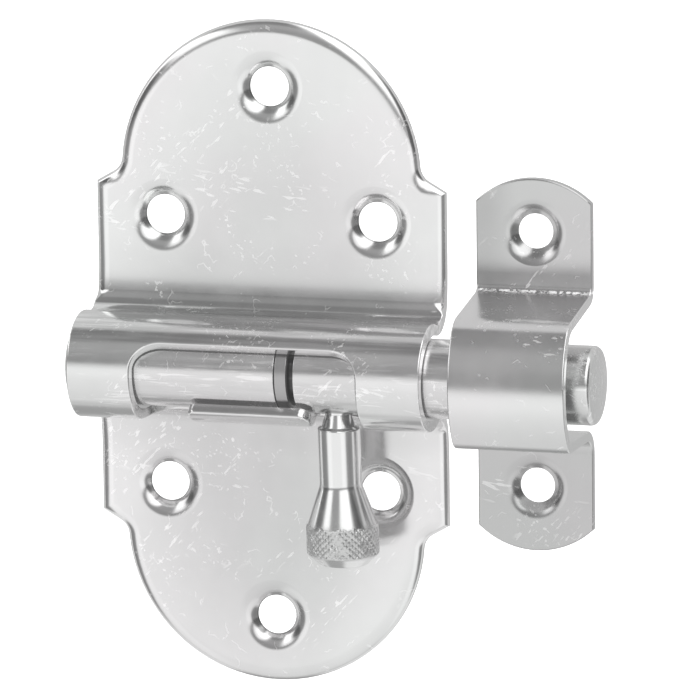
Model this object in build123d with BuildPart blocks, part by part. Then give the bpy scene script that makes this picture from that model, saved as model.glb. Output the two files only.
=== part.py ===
from build123d import *
import math
import os

os.makedirs("parts", exist_ok=True)

# All sizes in millimetres. The wall is the plane y = 0, the front looks to -Y, the bolt
# runs along X and shoots to +X, and Z is up. The origin is the middle of the four plate
# screw holes. "Height" in the names below is the distance in front of the wall.

# Sheet that the plate and the keeper are pressed from
sheet_t = 1.75

# Back plate: arches above and below, shoulders where they meet the straight sides
plate_width = 60.0
plate_height = 110.0
shoulder_width = 4.5
shoulder_drop = 2.1
shoulder_slope = 30.0
shoulder_rise = 3.5
shoulder_blend = 3.0
rim_radius = 1.4
rim_fade = 3.0
arch_radius = plate_width / 2 - shoulder_width
arch_z = plate_height / 2 - arch_radius
shoulder_z = arch_z - shoulder_drop

# Dimpled screw holes of the plate, placed from its sides and ends
side_margin = 11.75
screw_pitch_z = 45.0
end_margin = 10.75
plate_hole_radius = 3.3
plate_sink_radius = 4.85
plate_sink_blend = 0.8
sink_angle = 90.0
screw_pitch_x = plate_width - 2 * side_margin
end_pitch = plate_height - 2 * end_margin

# Bolt rod
bolt_radius = 6.5
bolt_height = 10.0
bolt_z = -1.15
bolt_tail = 1.1
bolt_reach = 3.1
bolt_chamfer = 0.5

# Barrel pressed out of the plate round the bolt
bolt_clear = 0.6
barrel_lean = 19.0
barrel_bend = 2.75
barrel_inner = bolt_radius + bolt_clear
barrel_outer = barrel_inner + sheet_t

# Window in the barrel, with a tongue between its two locking notches
barrel_land = 10.8
window_up = 39.0
window_down = 118.0
window_corner = 5.0
left_notch = 9.0
right_notch = 8.5
tongue_drop = 43.6
tongue_left_corner = 1.2
tongue_right_corner = 4.5
window_half = plate_width / 2 - barrel_land
tongue_left = -window_half + left_notch
tongue_right = window_half - right_notch

# Spring ring and its groove in the rod
groove_left = 4.75
groove_width = 3.3
groove_depth = 1.1
ring_clear = 0.05
ring_width = 2.05
ring_recess = 0.2
ring_gap = 3.0
groove_floor = bolt_radius - groove_depth
ring_inner = groove_floor + ring_clear
ring_outer = bolt_radius - ring_recess

# Knob, a turned pin standing in a cross hole of the rod
stem_radius = 3.525
stem_clear = 0.125
spigot_radius = 2.45
spigot_clear = 0.03
spigot_depth = 4.0
neck_length = 2.3
stem_length = 9.55
flare_length = 6.9
grip_radius = 6.0
grip_length = 4.7
tip_length = 1.7
tip_bevel = 2.1
knob_x = tongue_right + stem_clear + stem_radius

# Keeper, standing beside the plate, with room for the bolt on every side
keeper_space = 5.3
keeper_width = 19.4
keeper_end_radius = 14.0
keeper_top_margin = 8.9
keeper_low_margin = 10.7
hole_space_above = 3.3
hole_space_below = 0.45
keeper_hole_radius = 2.9
keeper_sink_radius = 4.4
keeper_sink_blend = 0.7
room_front = 2.45
room_above = 3.2
room_below = 1.9
bridge_top_bulge = 6.2
bridge_low_bulge = 3.2
bridge_crown_drop = 0.85
bridge_top_fall = 2.25
bridge_low_fall = 0.6
bridge_top_corner = 6.5
bridge_low_corner = 3.2
bridge_top_bend = 1.2
bridge_low_bend = 2.8
keeper_left = plate_width / 2 + keeper_space
keeper_right = keeper_left + keeper_width
keeper_x = (keeper_left + keeper_right) / 2
bolt_left = -plate_width / 2 - bolt_tail
bolt_right = keeper_right + bolt_reach

# Reach of cutting shapes past the sheet that they cut
cut_spare = 1.0
cut_near = barrel_inner - cut_spare / 2
cut_far = barrel_outer + 3 * cut_spare
cut_middle = (cut_near + cut_far) / 2
overrun = 4.0
near_enough = 0.01

bolt_axis = Axis((0, -bolt_height, bolt_z), (1, 0, 0))
bolt_level = Plane(origin=(0, -bolt_height, bolt_z), x_dir=(1, 0, 0), z_dir=(0, 0, 1))
sheet_front = Plane.XZ.offset(sheet_t)

# Where the barrel wall leaves the round, where it would meet the wall plane, and where the
# plate turns flat, each as a distance above or below the bolt's axis
lean = math.radians(barrel_lean)
leave_height = bolt_height - barrel_outer * math.sin(lean)
leave_half = barrel_outer * math.cos(lean)
foot_half = leave_half - leave_height * math.tan(lean)
fold_half = foot_half + sheet_t * math.tan(lean)
flat_half = fold_half + barrel_bend * math.tan((math.pi / 2 + lean) / 2)
flat_top = bolt_z + flat_half
flat_low = bolt_z - flat_half

# Tongue that stays standing between the notches
with BuildPart() as tongue_block:
    with BuildSketch(bolt_level.rotated((tongue_drop, 0, 0))):
        with Locations(((tongue_right + tongue_left) / 2, -cut_middle)):
            Rectangle(tongue_right - tongue_left, cut_far - cut_near + 2 * cut_spare)
    revolve(axis=bolt_axis, revolution_arc=window_down - tongue_drop + overrun)
    upright = tongue_block.edges().filter_by(GeomType.LINE).filter_by(Axis.X, reverse=True)
    left_front = upright.group_by(Axis.X)[0].sort_by(Axis.Y)[0]
    fillet(left_front, tongue_left_corner)
    upright = tongue_block.edges().filter_by(GeomType.LINE).filter_by(Axis.X, reverse=True)
    right_front = upright.group_by(Axis.X)[-1].sort_by(Axis.Y)[0]
    fillet(right_front, tongue_right_corner)

# Window with its notches, as the shape that is punched out of the barrel
with BuildPart() as window_punch:
    with BuildSketch(bolt_level.rotated((-window_up, 0, 0))):
        with Locations((0, -cut_middle)):
            Rectangle(2 * window_half, cut_far - cut_near)
    revolve(axis=bolt_axis, revolution_arc=window_up + window_down)
    corners = window_punch.edges().filter_by(GeomType.LINE).filter_by(Axis.X, reverse=True)
    fillet(corners, window_corner)
    add(tongue_block.part, mode=Mode.SUBTRACT)

# Back plate
with BuildPart() as back_plate:
    # Flat sheet with its arched outline and rolled front rim
    with BuildSketch(Plane.XZ):
        Rectangle(plate_width, 2 * shoulder_z)
        with Locations((0, shoulder_z)):
            Trapezoid(plate_width, shoulder_rise, shoulder_slope, align=(Align.CENTER, Align.MIN))
        with Locations(Location((0, -shoulder_z), 180)):
            Trapezoid(plate_width, shoulder_rise, shoulder_slope, align=(Align.CENTER, Align.MIN))
        SlotCenterToCenter(2 * arch_z, 2 * arch_radius, rotation=90)
    extrude(amount=sheet_t)
    inner_corners = back_plate.edges().filter_by(Axis.Y).filter_by(
        lambda edge: abs(edge.center().X) < (plate_width - shoulder_width) / 2
    )
    fillet(inner_corners, shoulder_blend)
    fillet(back_plate.faces().sort_by(Axis.Y)[0].edges(), rim_radius)

    # The middle of the sheet goes over to the barrel
    with BuildSketch(Plane.XZ):
        with Locations((0, bolt_z)):
            Rectangle(plate_width, 2 * flat_half)
    extrude(amount=sheet_t, mode=Mode.SUBTRACT)
    with BuildSketch(Plane(origin=(plate_width / 2, 0, 0), x_dir=(0, -1, 0), z_dir=(-1, 0, 0))) as skin:
        with Locations(((sheet_t - overrun) / 2, 0)):
            Rectangle(sheet_t + overrun, plate_height)
        with Locations((bolt_height, bolt_z)):
            Circle(barrel_outer)
        with BuildLine():
            Polyline(
                (0, bolt_z + foot_half),
                (leave_height, bolt_z + leave_half),
                (leave_height, bolt_z - leave_half),
                (0, bolt_z - foot_half),
                close=True,
            )
        make_face()
        fillet(skin.vertices().sort_by_distance((sheet_t, bolt_z))[:2], barrel_bend)
        offset(amount=-sheet_t, mode=Mode.SUBTRACT)
        with Locations((0, bolt_z)):
            Rectangle(plate_width, 2 * flat_half, align=(Align.MIN, Align.CENTER), mode=Mode.INTERSECT)
    extrude(amount=plate_width)

    # The rolled rim fades out towards the barrel
    with BuildSketch(Plane(origin=(plate_width / 2, 0, 0), x_dir=(0, -1, 0), z_dir=(-1, 0, 0))):
        with BuildLine():
            Polyline(
                (0, flat_top),
                (sheet_t, flat_top),
                (sheet_t - rim_radius, flat_top + rim_fade),
                (0, flat_top + rim_fade),
                close=True,
            )
        make_face()
        with BuildLine():
            Polyline(
                (0, flat_low),
                (sheet_t, flat_low),
                (sheet_t - rim_radius, flat_low - rim_fade),
                (0, flat_low - rim_fade),
                close=True,
            )
        make_face()
    extrude(amount=plate_width)

    # Window and notches
    add(window_punch.part, mode=Mode.SUBTRACT)

    # Dimpled screw holes
    with Locations(sheet_front):
        with GridLocations(screw_pitch_x, screw_pitch_z, 2, 2):
            CounterSinkHole(plate_hole_radius, plate_sink_radius, sheet_t, sink_angle)
        with GridLocations(0, end_pitch, 1, 2):
            CounterSinkHole(plate_hole_radius, plate_sink_radius, sheet_t, sink_angle)
    sink_rims = back_plate.edges().filter_by(GeomType.CIRCLE).filter_by(
        lambda edge: abs(edge.radius - plate_sink_radius) < near_enough
    )
    chamfer(sink_rims, plate_sink_blend)
back_plate.part.label = "back_plate"
export_step(back_plate.part, "parts/back_plate.step")

# Bolt rod with the ring groove and the cross hole for the knob
with BuildPart() as bolt_rod:
    with BuildSketch(Plane.YZ.offset(bolt_left)):
        with Locations((-bolt_height, bolt_z)):
            Circle(bolt_radius)
    extrude(amount=bolt_right - bolt_left)
    chamfer(bolt_rod.edges().filter_by(GeomType.CIRCLE), bolt_chamfer)
    with BuildSketch(Plane.YZ.offset(groove_left)):
        with Locations((-bolt_height, bolt_z)):
            Circle(bolt_radius + cut_spare)
            Circle(groove_floor, mode=Mode.SUBTRACT)
    extrude(amount=groove_width, mode=Mode.SUBTRACT)
    with BuildSketch(Plane.XY.offset(bolt_z - bolt_radius)):
        with Locations((knob_x, -bolt_height)):
            Circle(spigot_radius + spigot_clear)
    extrude(amount=spigot_depth, mode=Mode.SUBTRACT)
bolt_rod.part.label = "bolt_rod"
export_step(bolt_rod.part, "parts/bolt_rod.step")

# Spring ring, open at the side towards the wall
with BuildPart() as spring_ring:
    with BuildSketch(Plane.YZ.offset(groove_left + ring_clear)):
        with Locations((-bolt_height, bolt_z)):
            Circle(ring_outer)
            Circle(ring_inner, mode=Mode.SUBTRACT)
            Rectangle(2 * ring_outer, ring_gap, align=(Align.MIN, Align.CENTER), mode=Mode.SUBTRACT)
    extrude(amount=ring_width)
spring_ring.part.label = "spring_ring"
export_step(spring_ring.part, "parts/spring_ring.step")

# Knob: spigot, neck, stem, flare, grip band and bevelled end
neck_z = bolt_z - bolt_radius
stem_z = neck_z - neck_length
flare_z = stem_z - stem_length
grip_z = flare_z - flare_length
tip_z = grip_z - grip_length
end_z = tip_z - tip_length
with BuildPart() as knob:
    with BuildSketch(Plane.XZ.offset(bolt_height)):
        with BuildLine():
            Polyline(
                (knob_x, neck_z + spigot_depth),
                (knob_x + spigot_radius, neck_z + spigot_depth),
                (knob_x + spigot_radius, neck_z),
                (knob_x + stem_radius, stem_z),
                (knob_x + stem_radius, flare_z),
                (knob_x + grip_radius, grip_z),
                (knob_x + grip_radius, tip_z),
                (knob_x + grip_radius - tip_bevel, end_z),
                (knob_x, end_z),
                close=True,
            )
        make_face()
    revolve(axis=Axis((knob_x, -bolt_height, 0), (0, 0, 1)))
knob.part.label = "knob"
export_step(knob.part, "parts/knob.step")

# Keeper, one strip bent to a bridge with a tab above and below
bridge_height = bolt_height + bolt_radius + room_front + sheet_t
top_corner_height = bridge_height - bridge_top_bulge
low_corner_height = bridge_height - bridge_low_bulge
bridge_top = bolt_z + bolt_radius + room_above + sheet_t
bridge_low = bolt_z - bolt_radius - room_below - sheet_t
lean_top = math.atan(bridge_top_fall / top_corner_height)
lean_low = math.atan(bridge_low_fall / low_corner_height)
fold_top = bridge_top + (top_corner_height - sheet_t) * math.tan(lean_top)
fold_low = bridge_low - (low_corner_height - sheet_t) * math.tan(lean_low)
tab_top_start = fold_top + bridge_top_bend * math.tan((math.pi / 2 + lean_top) / 2)
tab_low_start = fold_low - bridge_low_bend * math.tan((math.pi / 2 + lean_low) / 2)
keeper_hole_top = tab_top_start + hole_space_above + keeper_sink_radius + keeper_sink_blend
keeper_hole_low = tab_low_start - hole_space_below - keeper_sink_radius - keeper_sink_blend
keeper_top = keeper_hole_top + keeper_top_margin
keeper_low = keeper_hole_low - keeper_low_margin
keeper_z = (keeper_top + keeper_low) / 2
keeper_height = keeper_top - keeper_low
with BuildPart() as keeper:
    with BuildSketch(Plane(origin=(keeper_right, 0, 0), x_dir=(0, -1, 0), z_dir=(-1, 0, 0))) as strip:
        with Locations(((sheet_t - overrun) / 2, keeper_z)):
            Rectangle(sheet_t + overrun, keeper_height + 2 * overrun)
        with BuildLine():
            Polyline(
                (top_corner_height, bridge_top),
                (0, bridge_top + bridge_top_fall),
                (0, bridge_low - bridge_low_fall),
                (low_corner_height, bridge_low),
            )
            ThreePointArc(
                (low_corner_height, bridge_low),
                (bridge_height, bolt_z - bridge_crown_drop),
                (top_corner_height, bridge_top),
            )
        make_face()
        fillet(strip.vertices().sort_by_distance((top_corner_height, bridge_top))[0], bridge_top_corner)
        fillet(strip.vertices().sort_by_distance((low_corner_height, bridge_low))[0], bridge_low_corner)
        feet = strip.vertices().sort_by_distance((sheet_t, bolt_z))[:2].sort_by(Axis.Y)
        fillet(feet[1], bridge_top_bend)
        feet = strip.vertices().sort_by_distance((sheet_t, bolt_z))[:2].sort_by(Axis.Y)
        fillet(feet[0], bridge_low_bend)
        offset(amount=-sheet_t, mode=Mode.SUBTRACT)
        with Locations((0, keeper_z)):
            Rectangle(bridge_height, keeper_height, align=(Align.MIN, Align.CENTER), mode=Mode.INTERSECT)
    extrude(amount=keeper_width)
    with BuildSketch(Plane.XZ):
        with Locations((keeper_x, keeper_z)):
            SlotCenterToCenter(keeper_height - 2 * keeper_end_radius, 2 * keeper_end_radius, rotation=90)
    extrude(amount=bridge_height, mode=Mode.INTERSECT)
    with Locations(sheet_front):
        with Locations((keeper_x, keeper_hole_top), (keeper_x, keeper_hole_low)):
            CounterSinkHole(keeper_hole_radius, keeper_sink_radius, sheet_t, sink_angle)
    sink_rims = keeper.edges().filter_by(GeomType.CIRCLE).filter_by(
        lambda edge: abs(edge.radius - keeper_sink_radius) < near_enough
    )
    chamfer(sink_rims, keeper_sink_blend)
keeper.part.label = "keeper"
export_step(keeper.part, "parts/keeper.step")
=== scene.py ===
"""Spring bolt of bright zinc-plated steel, with its keeper.

The wall is the plane y = 0, the front looks to -Y, the bolt runs along X and Z is up. Sizes are
in millimetres and angles in radians. A point in a side view is its height in front of the wall
and its level along Z.
"""

import contextlib
import enum
import logging
import math
from collections.abc import Callable, Iterator, Mapping, Sequence
from dataclasses import dataclass

import bmesh
import bpy
from mathutils import Matrix, Vector

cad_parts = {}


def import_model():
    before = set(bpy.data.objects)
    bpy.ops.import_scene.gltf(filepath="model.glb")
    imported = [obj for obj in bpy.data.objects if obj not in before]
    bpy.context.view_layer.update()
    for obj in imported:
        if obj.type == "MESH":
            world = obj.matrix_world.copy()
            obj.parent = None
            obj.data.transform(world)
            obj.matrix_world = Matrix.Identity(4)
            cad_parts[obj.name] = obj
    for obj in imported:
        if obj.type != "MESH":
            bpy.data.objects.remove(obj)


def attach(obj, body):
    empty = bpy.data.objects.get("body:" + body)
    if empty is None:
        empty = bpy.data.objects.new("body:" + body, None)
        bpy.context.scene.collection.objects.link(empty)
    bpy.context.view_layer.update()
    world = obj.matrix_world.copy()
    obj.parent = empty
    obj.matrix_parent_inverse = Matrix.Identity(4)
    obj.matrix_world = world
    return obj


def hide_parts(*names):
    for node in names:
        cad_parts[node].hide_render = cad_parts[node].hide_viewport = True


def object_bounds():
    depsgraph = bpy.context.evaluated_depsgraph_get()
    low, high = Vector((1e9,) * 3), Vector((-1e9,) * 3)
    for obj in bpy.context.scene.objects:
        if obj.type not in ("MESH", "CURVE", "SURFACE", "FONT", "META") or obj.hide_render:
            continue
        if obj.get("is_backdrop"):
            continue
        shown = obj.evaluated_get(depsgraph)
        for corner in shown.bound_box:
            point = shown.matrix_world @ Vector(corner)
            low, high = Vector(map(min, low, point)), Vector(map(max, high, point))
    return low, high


log = logging.getLogger("spring_bolt")

# Units and fineness
MM = 0.001
FULL_TURN = 2 * math.pi
ARC_STEP = math.radians(4.0)
WELD = 0.002 * MM
NEAR = 0.01

# The bolt's axis, and the sheet that the plate and the keeper are pressed from
AXIS_HEIGHT = 10.0
AXIS_LEVEL = -1.15
SHEET = 1.75

# Largest and smallest share of a normal along Y for a standing and a lying face
STANDING = 0.3
LYING = 0.9

WHITE = (1.0, 1.0, 1.0, 1.0)

Point = tuple[float, float]
Corner = tuple[float, float, float]
Span = tuple[float, float]
Noise = tuple[float, float]
Stops = tuple[Point, ...]


# Modelling bench


def spot(x: float, height: float, level: float) -> Vector:
    """Return the place, in metres, of a point given in millimetres."""
    return Vector((x * MM, -height * MM, level * MM))


def rest_tools() -> None:
    """Leave edit mode and deselect everything."""
    if bpy.context.object is not None and bpy.context.object.mode != "OBJECT":
        bpy.ops.object.mode_set(mode="OBJECT")
    bpy.ops.object.select_all(action="DESELECT")


def take(piece: bpy.types.Object) -> None:
    """Make a piece the only selected and active one.

    Args:
        piece: The object to work on.
    """
    rest_tools()
    piece.select_set(True)
    bpy.context.view_layer.objects.active = piece


@contextlib.contextmanager
def editing(piece: bpy.types.Object) -> Iterator[bmesh.types.BMesh]:
    """Work on a piece in edit mode with everything selected at the start.

    Args:
        piece: The object to work on.

    Returns:
        The edit mesh, for choosing faces and edges.
    """
    take(piece)
    bpy.ops.object.mode_set(mode="EDIT")
    bpy.ops.mesh.select_all(action="SELECT")
    yield bmesh.from_edit_mesh(piece.data)
    bpy.ops.object.mode_set(mode="OBJECT")


def choose_faces(mesh: bmesh.types.BMesh, test: Callable[[bmesh.types.BMFace], bool]) -> None:
    """Select only the faces that pass a test.

    Args:
        mesh: The edit mesh.
        test: Tells whether a face is wanted.
    """
    bpy.ops.mesh.select_mode(type="FACE")
    bpy.ops.mesh.select_all(action="DESELECT")
    for face in [face for face in mesh.faces if test(face)]:
        face.select_set(True)


def choose_edges(mesh: bmesh.types.BMesh, test: Callable[[bmesh.types.BMEdge], bool]) -> int:
    """Select only the edges that pass a test.

    Args:
        mesh: The edit mesh.
        test: Tells whether an edge is wanted.

    Returns:
        How many edges are selected.
    """
    bpy.ops.mesh.select_mode(type="EDGE")
    bpy.ops.mesh.select_all(action="DESELECT")
    wanted = [edge for edge in mesh.edges if test(edge)]
    for edge in wanted:
        edge.select_set(True)
    return len(wanted)


def arc(centre: Point, radius: float, start: float, end: float) -> list[Point]:
    """Give points along an arc, both ends included.

    Args:
        centre: Middle of the arc.
        radius: Its radius.
        start: Angle of the first point.
        end: Angle of the last point.

    Returns:
        The points in order.
    """
    steps = max(2, math.ceil(abs(end - start) / ARC_STEP))
    turns = [start + (end - start) * step / steps for step in range(steps + 1)]
    return [(centre[0] + radius * math.cos(a), centre[1] + radius * math.sin(a)) for a in turns]


def rounded(corners: Sequence[Corner], closed: bool = True) -> list[Point]:
    """Round the corners of an outline.

    Args:
        corners: Place of each corner and the radius it gets; zero leaves it sharp.
        closed: Whether the outline closes; an open one keeps its two ends.

    Returns:
        The outline's points in order.
    """
    points: list[Point] = []
    count = len(corners)
    for place, (x, y, radius) in enumerate(corners):
        here = Vector((x, y))
        if radius == 0 or (not closed and place in (0, count - 1)):
            points.append((x, y))
            continue
        before = (Vector(corners[place - 1][:2]) - here).normalized()
        after = (Vector(corners[(place + 1) % count][:2]) - here).normalized()
        half = before.angle(after) / 2
        centre = here + (before + after).normalized() * (radius / math.sin(half))
        first = here + before * (radius / math.tan(half)) - centre
        last = here + after * (radius / math.tan(half)) - centre
        start = math.atan2(first.y, first.x)
        sweep = math.atan2(first.x * last.y - first.y * last.x, first.dot(last))
        points += arc(tuple(centre), radius, start, start + sweep)
    return points


def blend_circle(foot: Point, heading: float, centre: Point, reach: float, blend: float) -> Point:
    """Find the middle of a small arc that joins a straight line to a round.

    Args:
        foot: A point of the line.
        heading: The line's direction.
        centre: Middle of the round.
        reach: Distance from that middle to the middle of the small arc.
        blend: Signed distance of the small arc's middle from the line, to its left.

    Returns:
        The middle of the small arc, the one furthest along the line.
    """
    along = Vector((math.cos(heading), math.sin(heading)))
    base = Vector(foot) + Vector((-along.y, along.x)) * blend - Vector(centre)
    back = base.dot(along)
    run = -back + math.sqrt(back * back - base.length_squared + reach * reach)
    return tuple(base + along * run + Vector(centre))


def flat_face(name: str, outline: Sequence[Point], height: float) -> bpy.types.Object:
    """Lay a flat filled face with a given outline.

    Args:
        name: Name of the new piece.
        outline: Its points (x, level), turning left as seen from the front.
        height: Height of the face in front of the wall.

    Returns:
        The new flat piece.
    """
    rest_tools()
    bpy.ops.mesh.primitive_circle_add(vertices=len(outline), radius=MM, fill_type="NGON")
    piece = bpy.context.object
    piece.name = piece.data.name = name
    for vertex, (x, level) in zip(piece.data.vertices, outline):
        vertex.co = spot(x, height, level)
    return piece


def raise_front(height: float) -> None:
    """Extrude what is selected towards the front by some millimetres."""
    bpy.ops.mesh.extrude_region_move(TRANSFORM_OT_translate={"value": (0, -height * MM, 0)})


def round_rim(width: float, fall: float, steps: int) -> None:
    """Round the rim of the selected face with insets.

    Args:
        width: How far the rounding reaches in from the outline.
        fall: How far it reaches out of the face's plane.
        steps: Number of insets.
    """
    for step in range(steps):
        now, then = (math.pi / 2 * (step + side) / steps for side in (0, 1))
        bpy.ops.mesh.inset(
            thickness=width * MM * (math.cos(now) - math.cos(then)),
            depth=fall * MM * (math.sin(then) - math.sin(now)),
            use_even_offset=True,
        )


def cut_blank(
    name: str, outline: Sequence[Point], rim: Span, rim_steps: int, edge: float, edge_steps: int
) -> bpy.types.Object:
    """Cut a flat blank out of the sheet and round its rim at the front and at the back.

    Args:
        name: Name of the new piece.
        outline: Outline of its widest place.
        rim: Width and fall of the rounding at the front.
        rim_steps: Steps of that rounding.
        edge: Radius of the rounding at the back.
        edge_steps: Steps of that rounding.

    Returns:
        The blank, with its back on the wall.
    """
    piece = flat_face(name, outline, edge)
    with editing(piece) as mesh:
        raise_front(SHEET - rim[1] - edge)
        round_rim(*rim, rim_steps)
        mesh.normal_update()
        choose_faces(mesh, lambda face: face.calc_center_median().y > -(edge + NEAR) * MM)
        bpy.ops.mesh.normals_make_consistent(inside=False)
        round_rim(edge, edge, edge_steps)
    weld(piece)
    return piece


def turned(
    name: str,
    profile: Sequence[Point],
    place: Callable[[float, float], Vector],
    axis: Vector,
    steps: int,
    sweep: float = FULL_TURN,
) -> bpy.types.Object:
    """Turn a profile about an axis.

    Args:
        name: Name of the new piece.
        profile: Closed profile as (distance from the axis, place along it).
        place: Turns a profile point into a place in metres.
        axis: Direction of the axis.
        steps: Steps of the turn.
        sweep: Angle that is swept.

    Returns:
        The turned piece.
    """
    rest_tools()
    bpy.ops.mesh.primitive_circle_add(vertices=len(profile), radius=MM, fill_type="NOTHING")
    piece = bpy.context.object
    piece.name = piece.data.name = name
    for vertex, (reach, along) in zip(piece.data.vertices, profile):
        vertex.co = place(reach, along)
    middle = place(0.0, 0.0)
    with editing(piece) as mesh:
        on_axis = {vertex for vertex, (reach, _) in zip(mesh.verts, profile) if reach == 0}
        if choose_edges(mesh, lambda edge: set(edge.verts) <= on_axis):
            bpy.ops.mesh.delete(type="EDGE_FACE")
        bpy.ops.mesh.select_all(action="SELECT")
        bpy.ops.mesh.spin(steps=steps, angle=sweep, center=middle, axis=axis)
        if not math.isclose(sweep, FULL_TURN):
            bpy.ops.mesh.select_all(action="DESELECT")
            bpy.ops.mesh.select_mode(type="EDGE")
            bpy.ops.mesh.select_non_manifold(extend=False, use_non_contiguous=False)
            bpy.ops.mesh.edge_face_add()
    weld(piece)
    return piece


def weld(piece: bpy.types.Object) -> None:
    """Merge doubled points and turn every normal outward.

    Args:
        piece: The object to clean.
    """
    with editing(piece):
        bpy.ops.mesh.remove_doubles(threshold=WELD)
        bpy.ops.mesh.dissolve_degenerate(threshold=WELD / 4)
        bpy.ops.mesh.select_all(action="SELECT")
        bpy.ops.mesh.normals_make_consistent(inside=False)


def joined(pieces: Sequence[bpy.types.Object]) -> bpy.types.Object:
    """Join pieces into the first of them.

    Args:
        pieces: The pieces to join.

    Returns:
        The first piece, now holding all.
    """
    rest_tools()
    for piece in pieces:
        piece.select_set(True)
    bpy.context.view_layer.objects.active = pieces[0]
    bpy.ops.object.join()
    return pieces[0]


def cut(piece: bpy.types.Object, punch: bpy.types.Object) -> None:
    """Cut a punch out of a piece and put the punch away.

    Args:
        piece: The piece that is cut.
        punch: The closed shape that is taken out.
    """
    take(piece)
    step = piece.modifiers.new("punch", "BOOLEAN")
    step.operation, step.solver, step.object = "DIFFERENCE", "EXACT", punch
    bpy.ops.object.modifier_apply(modifier=step.name)
    bpy.data.meshes.remove(punch.data)


def smooth(piece: bpy.types.Object, crisp: float = math.radians(32.0)) -> None:
    """Shade a finished piece smooth, with the large faces keeping their own normals.

    Args:
        piece: The finished piece.
        crisp: Edges that turn more than this stay crisp.
    """
    take(piece)
    bpy.ops.object.shade_smooth_by_angle(angle=crisp)
    step = piece.modifiers.new("even", "WEIGHTED_NORMAL")
    step.keep_sharp = True
    bpy.ops.object.modifier_apply(modifier=step.name)


@dataclass(frozen=True)
class Dimple:
    """Screw hole pressed into the sheet, with a sloping wall and a softly rounded entry."""

    hole: float
    slope: float
    entry: float
    land: float = 0.16
    overrun: float = 1.2
    entry_start: float = math.radians(6.0)
    entry_steps: int = 9

    def punch(self, x: float, level: float) -> bpy.types.Object:
        """Make the punch that takes the hole out of the flat sheet.

        Args:
            x: Place of the hole along X.
            level: Its level along Z.

        Returns:
            The punch as a closed turned shape.
        """
        slope, blend, start, steps = self.slope, self.entry, self.entry_start, self.entry_steps
        middle = self.hole + (SHEET - self.land) / math.tan(slope) + blend * math.tan(slope / 2)
        turns = [slope + (start - slope) * step / steps for step in range(steps + 1)]
        entry = [(middle - blend * math.sin(a), SHEET - blend + blend * math.cos(a)) for a in turns]
        top = entry[-1][1] + self.overrun
        profile = [
            (0.0, -self.overrun),
            (self.hole, -self.overrun),
            (self.hole, self.land),
            *entry,
            (entry[-1][0] + self.overrun / math.tan(start), top),
            (0.0, top),
        ]
        return turned(
            "dimple",
            profile,
            lambda reach, height: spot(x + reach, height, level),
            Vector((0, 1, 0)),
            steps=72,
        )


# Bent sheet


@dataclass(frozen=True)
class Stretch:
    """One stretch of a bent sheet's front line: straight, or an arc when it turns."""

    length: float
    turn: float = 0.0


@dataclass(frozen=True)
class FoldLine:
    """Side view of a bent sheet, from its upper flat down to its lower one.

    A point of the flat blank has a level along Z and a depth behind the front. Pressing takes it
    along the line of stretches; the flats above and below stay flat. The sheet may swell in the
    first half of a stretch that turns back.
    """

    start: Point
    stretches: tuple[Stretch, ...]
    swell: float = 0.0
    swell_run: float = 3.0

    @property
    def run(self) -> float:
        """Length of all the stretches."""
        return sum(stretch.length for stretch in self.stretches)

    @property
    def end(self) -> float:
        """Level of the blank where the lower flat begins."""
        return self.start[1] - self.run

    @property
    def shift(self) -> float:
        """How much further down the lower flat lies in the blank than in the pressed sheet."""
        return self.place(self.end, 0.0)[1] - self.start[1] + self.run

    def place(self, level: float, depth: float) -> Point:
        """Tell where a point of the blank goes.

        Args:
            level: Its level in the flat blank.
            depth: Its depth behind the front.

        Returns:
            Its height in front of the wall and its level in the pressed sheet.
        """
        here, heading = Vector(self.start), -math.pi / 2
        left = self.start[1] - level
        if left > 0:
            for stretch in self.stretches:
                part = min(left, stretch.length)
                here, heading = self.step(here, heading, stretch, part)
                left -= part
                if left <= 0:
                    depth *= self.swelling(stretch, part)
                    break
        along = Vector((math.cos(heading), math.sin(heading)))
        here = here + along * left - Vector((-along.y, along.x)) * depth
        return here.x, here.y

    def swelling(self, stretch: Stretch, part: float) -> float:
        """Tell how many times thicker the sheet is at a part of a stretch.

        Args:
            stretch: The stretch.
            part: How far along it.

        Returns:
            1 where the stretch doesn't turn back; else it rises over the swell's run, and fades
            from a quarter of the stretch to its middle.
        """
        if stretch.turn >= 0:
            return 1.0
        share = min(max(2.0 - 4.0 * part / stretch.length, 0.0), part / self.swell_run, 1.0)
        return 1 + self.swell * share

    @staticmethod
    def step(here: Vector, heading: float, stretch: Stretch, part: float) -> tuple[Vector, float]:
        """Go along a part of one stretch.

        Args:
            here: Where the stretch starts.
            heading: Direction there.
            stretch: The stretch.
            part: How far to go.

        Returns:
            The place and direction reached.
        """
        if stretch.turn == 0:
            return here + Vector((math.cos(heading), math.sin(heading))) * part, heading
        radius = stretch.length / stretch.turn
        then = heading + part / radius
        swing = Vector((math.sin(then) - math.sin(heading), math.cos(heading) - math.cos(then)))
        return here + swing * radius, then

    def cuts(self, finest: float) -> list[float]:
        """List the levels where the blank is divided so that it bends smoothly.

        Args:
            finest: Largest turn between two levels.

        Returns:
            The levels from the top down.
        """
        level = self.start[1]
        levels = [level]
        for stretch in self.stretches:
            parts = max(1, math.ceil(abs(stretch.turn) / finest))
            levels += [level - stretch.length * part / parts for part in range(1, parts + 1)]
            level -= stretch.length
        return levels

    def press(self, piece: bpy.types.Object) -> None:
        """Bend a flat blank, its back on the wall, into shape."""
        for vertex in piece.data.vertices:
            x, depth, level = vertex.co.x / MM, SHEET + vertex.co.y / MM, vertex.co.z / MM
            vertex.co = spot(x, *self.place(level, depth))


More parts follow.
